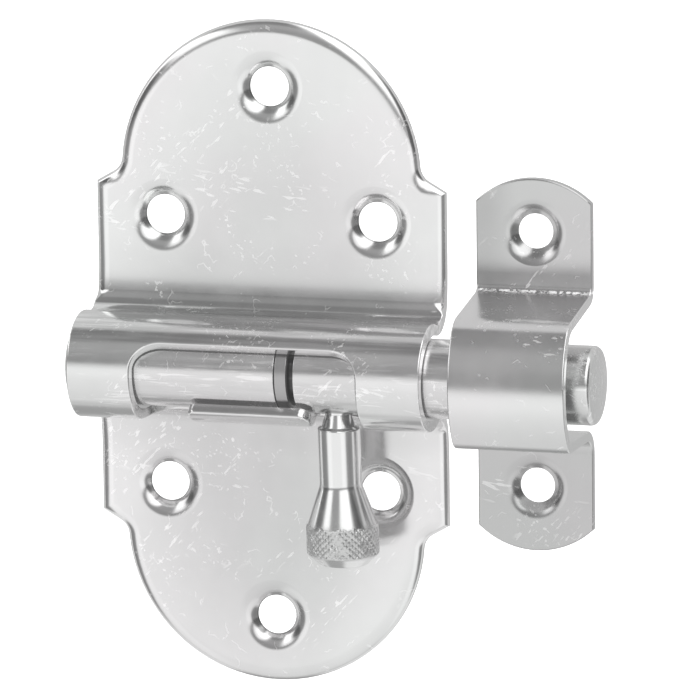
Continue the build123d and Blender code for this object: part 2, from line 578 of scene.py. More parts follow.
def divide(piece: bpy.types.Object, levels: Sequence[float]) -> None:
    """Cut a blank across at some levels, without taking it apart.

    Args:
        piece: The flat blank.
        levels: Levels along Z.
    """
    with editing(piece):
        for level in levels:
            bpy.ops.mesh.select_all(action="SELECT")
            bpy.ops.mesh.bisect(plane_co=(0, 0, level * MM), plane_no=(0, 0, 1))


def soften_cut(piece: bpy.types.Object, x_span: Span, level_span: Span, size: float) -> None:
    """Break the front edges of a cut-out with a small rounding.

    Args:
        piece: The flat blank with its cut-out.
        x_span: Least and largest X of the cut-out.
        level_span: Its lowest and highest level.
        size: Width of the rounding.
    """

    def at_front(edge: bmesh.types.BMEdge) -> bool:
        """Tell whether an edge lies between the front and a wall of the cut-out."""
        middle = (edge.verts[0].co + edge.verts[1].co) / 2 / MM
        inside = x_span[0] < middle.x < x_span[1] and level_span[0] < middle.z < level_span[1]
        if not inside or abs(-middle.y - SHEET) > NEAR:
            return False
        slopes = sorted(abs(face.normal.y) for face in edge.link_faces)
        return len(slopes) == 2 and slopes[0] < STANDING and slopes[1] > LYING

    with editing(piece) as mesh:
        mesh.normal_update()
        choose_edges(mesh, at_front)
        bpy.ops.mesh.bevel(offset=size * MM, segments=3, affect="EDGES", clamp_overlap=False)


# Shader bench


class Wire:
    """An output of a shader node, with arithmetic that adds Math nodes."""

    def __init__(self, bench: "Bench", socket: bpy.types.NodeSocket | None) -> None:
        """Keep the bench and the output socket."""
        self.bench = bench
        self.socket = socket

    def _math(self, operation: str, *values: "Wire | float") -> "Wire":
        """Add one Math node."""
        return self.bench.node("ShaderNodeMath", {"operation": operation}, *values)

    def __add__(self, other: "Wire | float") -> "Wire":
        """Add."""
        return self._math("ADD", self, other)

    def __radd__(self, other: float) -> "Wire":
        """Add to a number."""
        return self._math("ADD", other, self)

    def __sub__(self, other: "Wire | float") -> "Wire":
        """Subtract."""
        return self._math("SUBTRACT", self, other)

    def __rsub__(self, other: float) -> "Wire":
        """Subtract from a number."""
        return self._math("SUBTRACT", other, self)

    def __mul__(self, other: "Wire | float") -> "Wire":
        """Multiply."""
        return self._math("MULTIPLY", self, other)

    def __rmul__(self, other: float) -> "Wire":
        """Multiply a number."""
        return self._math("MULTIPLY", other, self)

    def __truediv__(self, other: "Wire | float") -> "Wire":
        """Divide."""
        return self._math("DIVIDE", self, other)

    def __rtruediv__(self, other: float) -> "Wire":
        """Divide a number."""
        return self._math("DIVIDE", other, self)

    def __neg__(self) -> "Wire":
        """Turn the sign."""
        return self._math("SUBTRACT", 0.0, self)

    def __abs__(self) -> "Wire":
        """Take the distance from zero."""
        return self._math("ABSOLUTE", self)

    def at_least(self, limit: float) -> "Wire":
        """Take the limit where this is below it."""
        return self._math("MAXIMUM", self, limit)

    def at_most(self, limit: float) -> "Wire":
        """Take the limit where this is above it."""
        return self._math("MINIMUM", self, limit)

    def arc_tangent(self, other: "Wire") -> "Wire":
        """Take the angle whose tangent is this over the other."""
        return self._math("ARCTAN2", self, other)


class Bench:
    """A node tree on which one shader is wired."""

    def __init__(self, owner: bpy.types.Material | bpy.types.World) -> None:
        """Start on the owner's emptied tree."""
        owner.use_nodes = True
        self.tree = owner.node_tree
        self.tree.nodes.clear()

    def node(
        self,
        kind: str,
        settings: Mapping[str, object] | None = None,
        *values: object,
        output: int | str = 0,
        **named: object,
    ) -> Wire:
        """Add a node.

        Args:
            kind: Type of the node.
            settings: Properties to set on it first; stops are the place and grey of a ramp's.
            values: Values or wires for its first inputs, in order; None leaves one alone.
            output: The output that is wanted.
            named: Values or wires for inputs by name, with _ for a space.

        Returns:
            The wanted output.
        """
        made = self.tree.nodes.new(kind)
        for key, value in (settings or {}).items():
            if key == "stops":
                self.set_stops(made.color_ramp, value)
            else:
                setattr(made, key, value)
        for socket, value in zip(made.inputs, values):
            self.feed(socket, value)
        for name, value in named.items():
            self.feed(made.inputs[name.replace("_", " ")], value)
        return Wire(self, made.outputs[output] if made.outputs else None)

    def feed(self, socket: bpy.types.NodeSocket, value: object) -> None:
        """Set or link one input."""
        if isinstance(value, Wire):
            self.tree.links.new(value.socket, socket)
        elif value is not None:
            socket.default_value = value

    @staticmethod
    def set_stops(scale: bpy.types.ColorRamp, stops: Stops) -> None:
        """Set the stops of a soft grey scale.

        Args:
            scale: The scale of a ramp node.
            stops: Place, from 0 to 1, and grey of each stop, in order.
        """
        scale.interpolation = "EASE"
        while len(scale.elements) < len(stops):
            scale.elements.new(1.0)
        for element, (at, grey) in zip(scale.elements, stops):
            element.position = at
            element.color = (grey, grey, grey, 1.0)

    def ramp(self, value: Wire, span: Span, stops: Stops) -> Wire:
        """Read a grey from a soft scale.

        Args:
            value: What is read.
            span: Value at the start of the scale and at its end.
            stops: Value and grey of each stop, in order.

        Returns:
            The grey.
        """
        low, high = span
        placed = tuple(((at - low) / (high - low), grey) for at, grey in stops)
        return self.node("ShaderNodeValToRGB", {"stops": placed}, (value - low) / (high - low))

    def noise(self, where: Wire, scale: float, detail: float) -> Wire:
        """Add one soft noise of so many lumps a metre."""
        return self.node("ShaderNodeTexNoise", {}, Vector=where, Scale=scale, Detail=detail)

    def stretched(self, where: Wire, scale: Corner) -> Wire:
        """Draw a pattern out along the axes whose scale is below 1."""
        return self.node("ShaderNodeMapping", {}, where, None, None, scale)

    def axes(self, where: Wire) -> list[Wire]:
        """Take a vector apart into its three numbers."""
        parts = self.node("ShaderNodeSeparateXYZ", {}, where).socket.node
        return [Wire(self, part) for part in parts.outputs]

    def mix(self, factor: Wire, first: Wire | float, second: Wire | float) -> Wire:
        """Mix two numbers by a factor."""
        return self.node("ShaderNodeMix", {"data_type": "FLOAT"}, factor, None, first, second)

    def clamp(self, value: Wire, low: float, high: float) -> Wire:
        """Keep a value between two limits."""
        return self.node("ShaderNodeClamp", {}, value, low, high)

    def length(self, first: Wire, second: Wire) -> Wire:
        """Take the length of two sides of a right angle."""
        return self.node("ShaderNodeMath", {"operation": "SQRT"}, first * first + second * second)

    def step(self, value: Wire, start: float, end: float) -> Wire:
        """Rise from 0 to 1 while a value goes from start to end."""
        limits = (value, start, end, 0.0, 1.0)
        return self.node("ShaderNodeMapRange", {"interpolation_type": "SMOOTHSTEP"}, *limits)

    def fade(self, value: Wire, start: float, end: float) -> Wire:
        """Fall from 1 to 0 while a value goes from start to end."""
        return 1.0 - self.step(value, start, end)

    def band(self, value: Wire, rise: Span, fall: Span) -> Wire:
        """Rise from 0 to 1 over the first span and fall back over the second."""
        return self.step(value, *rise) * self.fade(value, *fall)

    def all_of(self, masks: Sequence[Wire]) -> Wire:
        """Lay masks over each other, with 1 as the most."""
        total = masks[0]
        for mask in masks[1:]:
            total = total + mask
        return total.at_most(1.0)


class Grain(enum.Enum):
    """Direction in which a surface was worked, as the scale of its fine noise."""

    ALONG_X = (0.06, 1.0, 1.0)
    NONE = (1.0, 1.0, 1.0)


@dataclass(frozen=True)
class Scratches:
    """One layer of scratches.

    The turn sets its direction and place, and scale is in lumps a metre. Size is the width of a
    curved scratch, or how drawn out a stroke is. Where a wider noise passes patch, the layer shows.
    """

    turn: float
    scale: float
    size: float
    patch: float


@dataclass(frozen=True)
class Place:
    """Coordinates on a piece: as they are, and in millimetres along each axis."""

    where: Wire
    x: Wire
    y: Wire
    z: Wire


@dataclass(frozen=True)
class Zinc:
    """Bright zinc on steel, smudged and finely scratched from lying loose among others.

    A noise is given by its lumps a metre and its detail. Each finish adds its own painted shade and marks,
    dulled places, painted glints and slow slopes.
    """

    name: str
    tone: float = 0.80
    roughness: float = 0.22
    smudge: float = 0.05
    scratch: float = 1.0
    wave: float = 0.25
    grain: Grain = Grain.NONE
    grain_depth: float = 0.0
    grain_noise: Noise = (1500.0, 3.0)
    cloud: Noise = (60.0, 3.0)
    cloud_tone: float = 1.8
    cloud_rough: float = 0.14
    stain: Noise = (260.0, 4.0)
    stain_rough: float = 0.12
    hue: Noise = (34.0, 1.0)
    hue_span: Span = (0.42, 0.6)
    hue_tints: tuple[Span, Span, Span] = ((0.99, 0.01), (0.998, -0.008), (0.992, 0.003))
    slow: Noise = (24.0, 1.0)
    ripple: Noise = (420.0, 2.0)
    ripple_share: float = 0.012
    ripple_least: float = 0.002
    speck: Noise = (2600.0, 1.0)
    speck_height: float = 0.0008
    curls: tuple[Scratches, ...] = (Scratches(0.4, 210.0, 0.012, 0.60), Scratches(2.1, 300.0, 0.014, 0.61))
    curl_weight: float = 0.7
    curl_fade: float = 0.05
    curl_detail: float = 2.5
    curl_area: Noise = (1.1, 3.0)
    strokes: tuple[Scratches, ...] = (
        Scratches(0.7, 1700.0, 4.0, 0.565),
        Scratches(2.8, 1500.0, 1.3, 0.575),
        Scratches(3.9, 1400.0, 9.0, 0.59),
    )
    stroke_weight: float = 0.25
    stroke_span: Span = (0.64, 0.69)
    stroke_fade: float = 0.06
    stroke_detail: float = 1.0
    cluster: float = 15.0
    cluster_detail: float = 2.0
    dash_run: Corner = (0.11, 1.0, 1.0)
    dash: Noise = (1500.0, 2.0)
    dash_span: Span = (0.54, 0.64)
    dash_area: Noise = (420.0, 1.0)
    dash_area_span: Span = (0.42, 0.56)
    dash_base: float = 0.3
    worn_tone: float = 0.22
    worn_rough: float = 0.18
    worn_glow: float = 0.04
    gleam_tone: float = 0.5
    gleam_rough: float = 0.3
    gleam_glow: float = 0.35
    glow: float = 0.035

    def shade(self, bench: Bench, place: Place) -> Wire | float:
        """Tell how much lighter or darker the sheet is from place to place."""
        return 0.0

    def dull(self, bench: Bench, place: Place) -> Wire | float:
        """Tell how much rougher the surface is from place to place."""
        return 0.0

    def gleam(self, bench: Bench, place: Place) -> Wire | float:
        """Tell where painted glints lie, from 0 to 1."""
        return 0.0

    def slope(self, bench: Bench, place: Place) -> Wire | float:
        """Give a slow rise and fall of the surface, in millimetres."""
        return 0.0

    def made(self) -> bpy.types.Material:
        """Wire the finish.

        Returns:
            The material.
        """
        material = bpy.data.materials.new(self.name)
        bench = Bench(material)
        where = bench.node("ShaderNodeTexCoord", output="Object")
        place = Place(where, *(axis / MM for axis in bench.axes(where)))
        cloud = bench.noise(where, *self.cloud) - 0.5
        stain = bench.noise(where, *self.stain)
        worn = self.curled(bench, where) * self.curl_weight
        worn = (worn + self.stroked(bench, where) * (self.stroke_weight + stain)) * self.scratch
        # Painted highlights: glints lighten the colour and glow.
        gleam = self.gleam(bench, place)
        grain = bench.noise(bench.stretched(where, self.grain.value), *self.grain_noise)
        brushed = (grain - 0.5) * self.grain_depth
        tone = self.tone + self.smudge * cloud * self.cloud_tone + self.smudge * (stain - 0.5)
        tone = tone + self.shade(bench, place)
        tone = tone + worn * self.worn_tone + gleam * self.gleam_tone + brushed
        rough = self.roughness + cloud * self.cloud_rough + (stain - 0.5) * self.stain_rough
        rough = rough + worn * self.worn_rough
        rough = rough + gleam * self.gleam_rough + brushed + self.dull(bench, place)
        # Painted light: an even glow lifts the dark crevices, and scratches and glints glow as painted
        # highlights.
        glow = self.glow + gleam * self.gleam_glow + worn * self.worn_glow
        skin = bench.node(
            "ShaderNodeBsdfPrincipled",
            {},
            Base_Color=self.tinted(bench, where, tone.at_most(1.0)),
            Metallic=1.0,
            Roughness=rough,
            Normal=self.relief(bench, place),
            Emission_Color=bench.node("ShaderNodeCombineColor", {}, glow, glow, glow),
            Emission_Strength=1.0,
        )
        bench.node("ShaderNodeOutputMaterial", {}, skin)
        return material

    def tinted(self, bench: Bench, where: Wire, tone: Wire) -> Wire:
        """Make a grey slightly warmer or cooler from place to place.

        Args:
            bench: The bench.
            where: Coordinates on the piece.
            tone: The grey.

        Returns:
            The colour.
        """
        warm = bench.step(bench.noise(where, *self.hue), *self.hue_span)
        channels = (tone * (cool + warm * change) for cool, change in self.hue_tints)
        return bench.node("ShaderNodeCombineColor", {}, *channels)

    def relief(self, bench: Bench, place: Place) -> Wire:
        """Let the surface wave, ripple and slope.

        Args:
            bench: The bench.
            place: Coordinates on the piece.

        Returns:
            The bumped normal.
        """
        slow = bench.noise(place.where, *self.slow) * self.wave
        ripple = bench.noise(place.where, *self.ripple)
        ripple = ripple * (self.ripple_share * self.wave + self.ripple_least)
        speck = bench.noise(place.where, *self.speck) * self.speck_height
        height = slow + ripple + speck + self.slope(bench, place)
        return bench.node("ShaderNodeBump", {}, Strength=1.0, Distance=MM, Height=height)

    def curled(self, bench: Bench, where: Wire) -> Wire:
        """Draw fine curved scratches in scattered patches.

        Args:
            bench: The bench.
            where: Coordinates on the piece.

        Returns:
            1 on a scratch and 0 off it.
        """
        masks = []
        for layer in self.curls:
            turn = layer.turn
            offset, angles = (turn, turn * 2, turn * 3), (turn, turn / 2, turn)
            set_off = bench.node("ShaderNodeMapping", {}, where, offset, angles)
            line = bench.noise(set_off, layer.scale, self.curl_detail)
            thin = bench.fade(abs(line - 0.5), 0.0, layer.size)
            finer, detail = self.curl_area
            area = bench.noise(set_off, layer.scale * finer, detail)
            masks.append(thin * bench.step(area, layer.patch, layer.patch + self.curl_fade))
        return bench.all_of(masks)

    def stroked(self, bench: Bench, where: Wire) -> Wire:
        """Strew short strokes and dots in loose clusters.

        Args:
            bench: The bench.
            where: Coordinates on the piece.

        Returns:
            1 on a stroke and 0 off it.
        """
        masks = []
        for layer in self.strokes:
            turn = layer.turn
            offset, angles = (turn, turn * 3, turn * 2), (turn / 3, turn, turn / 2)
            values = (where, offset, angles, (1.0, 1.0, layer.size))
            drawn_out = bench.node("ShaderNodeMapping", {"vector_type": "TEXTURE"}, *values)
            stroke = bench.noise(drawn_out, layer.scale, self.stroke_detail)
            short = bench.step(stroke, *self.stroke_span)
            area = bench.noise(drawn_out, layer.scale / self.cluster, self.cluster_detail)
            masks.append(short * bench.step(area, layer.patch, layer.patch + self.stroke_fade))
        return bench.all_of(masks)

    def dashes(self, bench: Bench, place: Place) -> Wire:
        """Streak a surface with short lines along X.

        Args:
            bench: The bench.
            place: Coordinates on the piece.

        Returns:
            From -0.3 off a line to 0.7 on it.
        """
        drawn_out = bench.stretched(place.where, self.dash_run)
        line = bench.step(bench.noise(drawn_out, *self.dash), *self.dash_span)
        area = bench.step(bench.noise(drawn_out, *self.dash_area), *self.dash_area_span)
        return line * area - self.dash_base


@dataclass(frozen=True)
class PlateZinc(Zinc):
    """Zinc of the plate, with painted shade towards the middle of its flats, in the hollow, along the
    cut's edge and inside the barrel; streaked over the barrel.

    Spans are levels along Z, heights in front of the wall or distances, from where a mask starts
    to rise or fall to where it ends, and each tone says how dark or light its mask makes the sheet.
    """

    # Painted shade: the flats darken towards the middle, in the hollow and along the cut's edge.
    flat: float = -0.135
    half_plate: Point = (30.0, 56.0)
    rim: Span = (0.45, 1.0)
    rim_tone: float = 0.125
    patch: Corner = (-4.0, -34.0, 26.0)
    patch_squash: float = 0.7
    patch_core: float = 0.3
    patch_tone: float = 0.07
    hollow: tuple[Span, Span] = ((2.0, 8.0), (9.0, 21.0))
    hollow_shade: float = 0.08
    cut_line: tuple[Span, Span] = ((0.0, 0.05), (0.26, 0.36))
    cut_line_end: Span = (26.0, 27.0)
    cut_line_shade: float = 0.3
    barrel: Span = (2.4, 3.6)
    streaks: Noise = (900.0, 2.0)
    streak_run: Corner = (0.05, 1.0, 1.0)
    streak_span: Span = (0.40, 0.62)
    streak_rise: Span = (3.6, 4.6)
    streak_fall: Span = (7.4, 8.4)
    streak_tone: float = 0.22
    # Painted shade inside the barrel.
    bore: Span = (8.6, 8.8)
    bore_level: Span = (-7.6, -7.0)
    bore_shade: float = 0.25
    dash_level: Span = (2.0, 3.6)
    dash_tone: float = 0.1
    crease: Point = (8.9, 0.8)
    crease_core: float = 0.4
    glint: Noise = (420.0, 1.0)
    glint_span: Span = (0.68, 0.74)
    glint_run: Corner = (0.35, 1.0, 1.0)
    glint_shift: Corner = (0.3, 0.0, 0.0)
    glint_gain: float = 0.8
    dish: Point = (18.5, 0.0018)
    dish_level: Span = (0.0, 8.0)

    def shade(self, bench: Bench, place: Place) -> Wire | float:
        """Paint shade on the flats, least near the rim, and inside the barrel, and streak the barrel.

        Args:
            bench: The bench.
            place: Coordinates on the piece.

        Returns:
            The change of the tone.
        """
        raised = bench.step(-place.y, *self.barrel)
        barrel = self.barrel_shade(bench, place, raised)
        return self.flat_shade(bench, place) * (1.0 - raised) + barrel * raised

    def flat_shade(self, bench: Bench, place: Place) -> Wire:
        """Paint shade on the flats towards the middle, in the hollow and along the edge of the cut.

        Args:
            bench: The bench.
            place: Coordinates on the piece.

        Returns:
            The change of the tone.
        """
        reach = bench.length(place.x / self.half_plate[0], place.z / self.half_plate[1])
        x, level, size = self.patch
        off = bench.length(place.x - x, (place.z - level) * self.patch_squash)
        patch = bench.fade(off, size * self.patch_core, size)
        hollow = bench.band(place.z, *self.hollow)
        shade = self.flat + bench.step(reach, *self.rim) * self.rim_tone
        shade = shade - patch * self.patch_tone - hollow * self.hollow_shade
        line = bench.band(-place.y, *self.cut_line) * bench.fade(abs(place.x), *self.cut_line_end)
        return shade - line * self.cut_line_shade

    def barrel_shade(self, bench: Bench, place: Place, raised: Wire) -> Wire:
        """Streak the barrel's top, paint shade inside it and put dashes on its front.

        Args:
            bench: The bench.
            place: Coordinates on the piece.
            raised: 1 on the barrel.

        Returns:
            The change of the tone.
        """
        drawn_out = bench.stretched(place.where, self.streak_run)
        streaks = bench.step(bench.noise(drawn_out, *self.streaks), *self.streak_span) - 0.5
        top = raised * bench.step(place.z, *self.streak_rise) * bench.fade(place.z, *self.streak_fall)
        off = bench.length(place.y + AXIS_HEIGHT, place.z - AXIS_LEVEL)
        inside = bench.fade(off, *self.bore) * bench.fade(place.z, *self.bore_level)
        dashes = self.dashes(bench, place) * bench.fade(place.z, *self.dash_level) * self.dash_tone
        return streaks * top * self.streak_tone - inside * self.bore_shade + dashes

    def gleam(self, bench: Bench, place: Place) -> Wire | float:
        """Put a few glints along the crease over the barrel.

        Args:
            bench: The bench.
            place: Coordinates on the piece.

        Returns:
            The glints, up to 0.8.
        """
        level, width = self.crease
        near = bench.fade(abs(place.z - level), width * self.crease_core, width)
        long = bench.node("ShaderNodeMapping", {}, place.where, self.glint_shift, None, self.glint_run)
        return near * bench.step(bench.noise(long, *self.glint), *self.glint_span) * self.glint_gain

    def slope(self, bench: Bench, place: Place) -> Wire | float:
        """Dish the flat slowly towards the crease over the barrel.

        Args:
            bench: The bench.
            place: Coordinates on the piece.

        Returns:
            The height, which rises with the square of the distance.
        """
        start, rate = self.dish
        away = (start - place.z).at_least(0.0)
        return away * away * rate * bench.step(place.z, *self.dish_level)


@dataclass(frozen=True)
class KeeperZinc(Zinc):
    """Zinc of the keeper: its sheet stands a little skew to the light, has painted shade on its tabs and
    bridge, and painted glints along the crease.

    Spans are levels along Z, places along X or heights in front of the wall, as in the plate's.
    """

    # Painted shade on the tabs, the foot of the bridge and its upper wall.
    upper_tab: Span = (12.6, 13.4)
    upper_tab_shade: float = -0.2
    lower_tab: Span = (-14.5, -12.5)
    lower_tab_shade: float = 0.26
    left: Span = (36.5, 43.0)
    left_edge_shade: float = 0.1
    foot: Span = (-8.5, -3.0)
    foot_shade: float = 0.08
    wall: Span = (11.0, 12.0)
    wall_shade: float = 0.06
    bridge: Span = (-12.0, 12.0)
    skew: float = 0.155
    crease: float = 12.3
    dish: Corner = (20.2, 5.0, 0.18)
    glint_level: float = 0.1
    glint_width: Span = (0.05, 0.3)
    glint_height: Span = (3.2, 4.2)
    glint: Noise = (1500.0, 4.0)
    glint_span: Span = (0.40, 0.62)

    def shade(self, bench: Bench, place: Place) -> Wire | float:
        """Paint shade on the tabs, the upper one most at its left edge, and on the foot of the bridge and
        its upper wall.

        Args:
            bench: The bench.
            place: Coordinates on the piece.

        Returns:
            The change of the tone.
        """
        upper = bench.step(place.z, *self.upper_tab)
        lower = bench.fade(place.z, *self.lower_tab)
        left = upper * bench.fade(place.x, *self.left)
        foot = bench.fade(place.z, *self.foot) * (1.0 - lower)
        wall = bench.step(place.z, *self.wall) * (1.0 - upper)
        tabs = upper * self.upper_tab_shade - lower * self.lower_tab_shade - left * self.left_edge_shade
        return tabs - foot * self.foot_shade - wall * self.wall_shade

    def slope(self, bench: Bench, place: Place) -> Wire | float:
        """Lean the bridge slightly upwards and dish the upper tab towards its crease.

        Args:
            bench: The bench.
            place: Coordinates on the piece.

        Returns:
            The height, with a rounded start and a straight slope on the tab.
        """
        on_bridge = bench.clamp(place.z, *self.bridge)
        start, run, rate = self.dish
        away = bench.clamp(start - place.z, 0.0, start - self.crease)
        near = away.at_most(run)
        return on_bridge * -self.skew + (near * near / (2.0 * run) + away - near) * rate

    def gleam(self, bench: Bench, place: Place) -> Wire | float:
        """Put a broken row of glints along the upper crease.

        Args:
            bench: The bench.
            place: Coordinates on the piece.

        Returns:
            The glints, from 0 to 1.
        """
        near = bench.fade(abs(place.z - self.crease - self.glint_level), *self.glint_width)
        low = bench.fade(-place.y, *self.glint_height)
        return near * low * bench.step(bench.noise(place.where, *self.glint), *self.glint_span)


@dataclass(frozen=True)
class RodZinc(Zinc):
    """Zinc of the rod, with painted shade in the ring's groove and round the knob."""

    # Painted shade in the groove and round the knob's foot.
    groove: tuple[Span, Span] = ((4.6, 4.7), (8.1, 8.2))
    groove_wall: Span = (6.2, 6.4)
    groove_shade: float = -0.66
    knob_x: float = 13.9
    foot: Span = (3.4, 4.4)
    foot_level: Span = (-6.6, -5.6)
    foot_shade: float = 0.45
    dash_tone: float = 0.14

    def shade(self, bench: Bench, place: Place) -> Wire | float:
        """Paint shade in the groove behind the ring and round the foot of the knob.

        Args:
            bench: The bench.
            place: Coordinates on the piece.

        Returns:
            The change of the tone.
        """
        inside = bench.band(place.x, *self.groove)
        off = bench.length(place.y + AXIS_HEIGHT, place.z - AXIS_LEVEL)
        groove = inside * bench.fade(off, *self.groove_wall)
        foot = bench.fade(bench.length(place.x - self.knob_x, place.y + AXIS_HEIGHT), *self.foot)
        foot = foot * bench.fade(place.z, *self.foot_level)
        dashes = self.dashes(bench, place) * self.dash_tone
        return groove * self.groove_shade - foot * self.foot_shade + dashes


@dataclass(frozen=True)
class KnobZinc(Zinc):
    """Zinc of the knob, dull in the knurled band."""

    band: tuple[Span, Span] = ((-31.5, -30.9), (-26.8, -25.2))
    band_x: float = 14.4
    band_reach: Span = (5.0, 5.4)
    band_tone: float = -0.16
    band_rough: float = 0.2

    def knurled(self, bench: Bench, place: Place) -> Wire:
        """Tell where the knurled band is.

        Args:
            bench: The bench.
            place: Coordinates on the piece.

        Returns:
            1 on the band and 0 off it.
        """
        off = bench.length(place.x - self.band_x, place.y + AXIS_HEIGHT)
        return bench.band(place.z, *self.band) * bench.step(off, *self.band_reach)

    def shade(self, bench: Bench, place: Place) -> Wire | float:
        """Darken the knurled band."""
        return self.knurled(bench, place) * self.band_tone

    def dull(self, bench: Bench, place: Place) -> Wire | float:
        """Roughen the knurled band."""
        return self.knurled(bench, place) * self.band_rough


def finish_piece(piece: bpy.types.Object, skin: Zinc, body: str, node: str) -> None:
    """Dress a finished piece, attach it to its body and hide the CAD node that it stands for.

    Args:
        piece: The finished piece.
        skin: Its finish.
        body: The body that it rides on.
        node: The node that it stands for.
    """
    piece.data.materials.clear()
    piece.data.materials.append(skin.made())
    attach(piece, body)
    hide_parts(node)


# The bolt's pieces


@dataclass
class BackPlate:
    """Arched plate with the barrel pressed out of its middle."""

    width: float = 60.0
    height: float = 111.3
    shoulder_width: float = 4.35
    shoulder_drop: float = 2.1
    shoulder_slope: float = math.radians(30.0)
    shoulder_blend: float = 3.0
    rim_width: float = 2.5
    rim_fall: float = 1.55
    rim_steps: int = 8
    rim_fade: float = 2.2
    rim_fade_steps: int = 6
    rim_keep: float = 0.13
    edge: float = 0.12
    screw_half_x: float = 18.25
    screw_half_z: float = 22.6
    end_screw: float = 44.5
    dimple: Dimple = Dimple(hole=3.3, slope=math.radians(46.0), entry=3.7)
    barrel: float = 8.85
    lean: float = math.radians(19.0)
    bend: float = 3.6
    bend_step: float = math.radians(2.5)
    dish: float = math.radians(10.0)
    dish_run: float = 5.0
    swell: float = 0.18
    window_half: float = 19.2
    window_up: float = math.radians(36.4)
    window_down: float = math.radians(118.0)
    window_corner: float = 5.0
    tongue_left: float = -10.2
    tongue_right: float = 10.7
    tongue_foot: float = 9.1
    tongue_foot_round: float = 0.6
    tongue_drop: float = math.radians(43.6)
    tongue_corners: Span = (1.2, 1.9)
    overrun: float = 1.0
    cut_break: float = 0.4
    skin: Zinc = PlateZinc("plate zinc", roughness=0.17, smudge=0.065)

    def fold(self) -> FoldLine:
        """Work out the side view of the sheet over the barrel.

        Returns:
            The line from the upper flat round the barrel to the lower flat.
        """
        leave_height = AXIS_HEIGHT - self.barrel * math.sin(self.lean)
        leave_level = self.barrel * math.cos(self.lean)
        quarter = math.pi / 2 + self.lean
        sweep = self.dish_run / self.dish
        out = sweep * (1 - math.cos(self.dish)) + self.bend * (math.sin(self.lean) + math.cos(self.dish))
        drop = sweep * math.sin(self.dish) + self.bend * (math.cos(self.lean) - math.sin(self.dish))
        wall = (leave_height - SHEET - out) / math.cos(self.lean)
        start = leave_level + drop - wall * math.sin(self.lean)
        gentle = Stretch(self.dish_run, self.dish)
        sharp = Stretch(self.bend * (quarter - self.dish), quarter - self.dish)
        barrel = Stretch(2 * self.barrel * quarter, -2 * quarter)
        return FoldLine(
            (SHEET, AXIS_LEVEL + start),
            (gentle, sharp, Stretch(wall), barrel, Stretch(wall), sharp, gentle),
            self.swell,
        )

    def arch(self) -> list[Point]:
        """Draw the upper half of the outline.

        Returns:
            Its points from the right shoulder to the left one.
        """
        radius = self.width / 2 - self.shoulder_width
        middle = (0.0, self.height / 2 - radius)
        shoulder = (self.width / 2, middle[1] - self.shoulder_drop)
        blend = self.shoulder_blend
        centre = blend_circle(shoulder, -self.shoulder_slope, middle, radius + blend, blend)
        toward = math.atan2(centre[1] - middle[1], centre[0] - middle[0])
        hollow = arc(centre, blend, -math.pi / 2 - self.shoulder_slope, toward - math.pi)
        right = [shoulder, *hollow, *arc(middle, radius, toward, math.pi / 2)[1:]]
        return right + [(-x, level) for x, level in reversed(right[:-1])]

    def window(self, fold: FoldLine) -> bpy.types.Object:
        """Make the punch of the window with its two notches, as it lies on the flat blank.

        Args:
            fold: Side view of the sheet.

        Returns:
            The punch.
        """
        front = fold.start[1] - fold.run / 2
        turns = (self.window_up, -self.tongue_drop, -self.window_down)
        up, drop, down = (front + self.barrel * turn for turn in turns)
        half, corner = self.window_half, self.window_corner
        outline = rounded(
            [
                (half, down, corner),
                (half, up, corner),
                (-half, up, corner),
                (-half, down, corner),
                (self.tongue_left, down, self.tongue_foot_round),
                (self.tongue_left, drop, self.tongue_corners[0]),
                (self.tongue_right, drop, self.tongue_corners[1]),
                (self.tongue_foot, down, self.tongue_foot_round),
            ]
        )
        punch = flat_face("window", outline, -self.overrun)
        with editing(punch):
            raise_front(SHEET + 2 * self.overrun)
        weld(punch)
        return punch

    def screws(self, fold: FoldLine) -> list[Point]:
        """List where the screw holes lie on the flat blank.

        Args:
            fold: Side view of the sheet.

        Returns:
            Place along X and level of each hole.
        """
        half, levels = self.screw_half_x, (self.screw_half_z, -fold.shift - self.screw_half_z)
        ends = [(0.0, self.end_screw), (0.0, -fold.shift - self.end_screw)]
        return ends + [(x, level) for level in levels for x in (-half, half)]

    def fade_rim(self, piece: bpy.types.Object, fold: FoldLine) -> None:
        """Let the rounded rim fade out where the sheet bends up to the barrel.

        Args:
            piece: The flat blank.
            fold: Side view of the sheet.
        """
        top = fold.start[1] - self.dish_run - self.rim_fade
        low = fold.end + self.dish_run + self.rim_fade
        for vertex in piece.data.vertices:
            x, height, level = vertex.co.x / MM, -vertex.co.y / MM, vertex.co.z / MM
            inset, fall = self.width / 2 - abs(x), SHEET - height
            away = max(level - top, low - level, 0.0) / self.rim_fade
            if inset > self.rim_width + NEAR or fall > self.rim_fall + NEAR or away > 1.0:
                continue
            keep = self.rim_keep + (1 - self.rim_keep) * away * away * (3 - 2 * away)
            inset, fall = inset * keep, fall * keep
            vertex.co = spot(math.copysign(self.width / 2 - inset, x), SHEET - fall, level)

    def build(self) -> bpy.types.Object:
        """Punch, press and dress the plate.

        Returns:
            The finished plate.
        """
        fold = self.fold()
        upper = self.arch()
        lower = [(-x, -level - fold.shift) for x, level in upper]
        rim = (self.rim_width, self.rim_fall)
        piece = cut_blank("plate_sheet", upper + lower, rim, self.rim_steps, self.edge, 1)
        punches = [self.dimple.punch(x, level) for x, level in self.screws(fold)]
        cut(piece, joined([self.window(fold), *punches]))
        top, end, reach = fold.start[1], fold.end, self.window_half + self.overrun
        soften_cut(piece, (-reach, reach), (end, top), self.cut_break)
        steps = self.rim_fade_steps
        fade = [self.dish_run + self.rim_fade * step / steps for step in range(steps + 1)]
        levels = [level for run in fade for level in (top - run, end + run)]
        divide(piece, fold.cuts(self.bend_step) + sorted(levels, reverse=True))
        self.fade_rim(piece, fold)
        fold.press(piece)
        weld(piece)
        smooth(piece)
        finish_piece(piece, self.skin, "plate", "back_plate")
        return piece


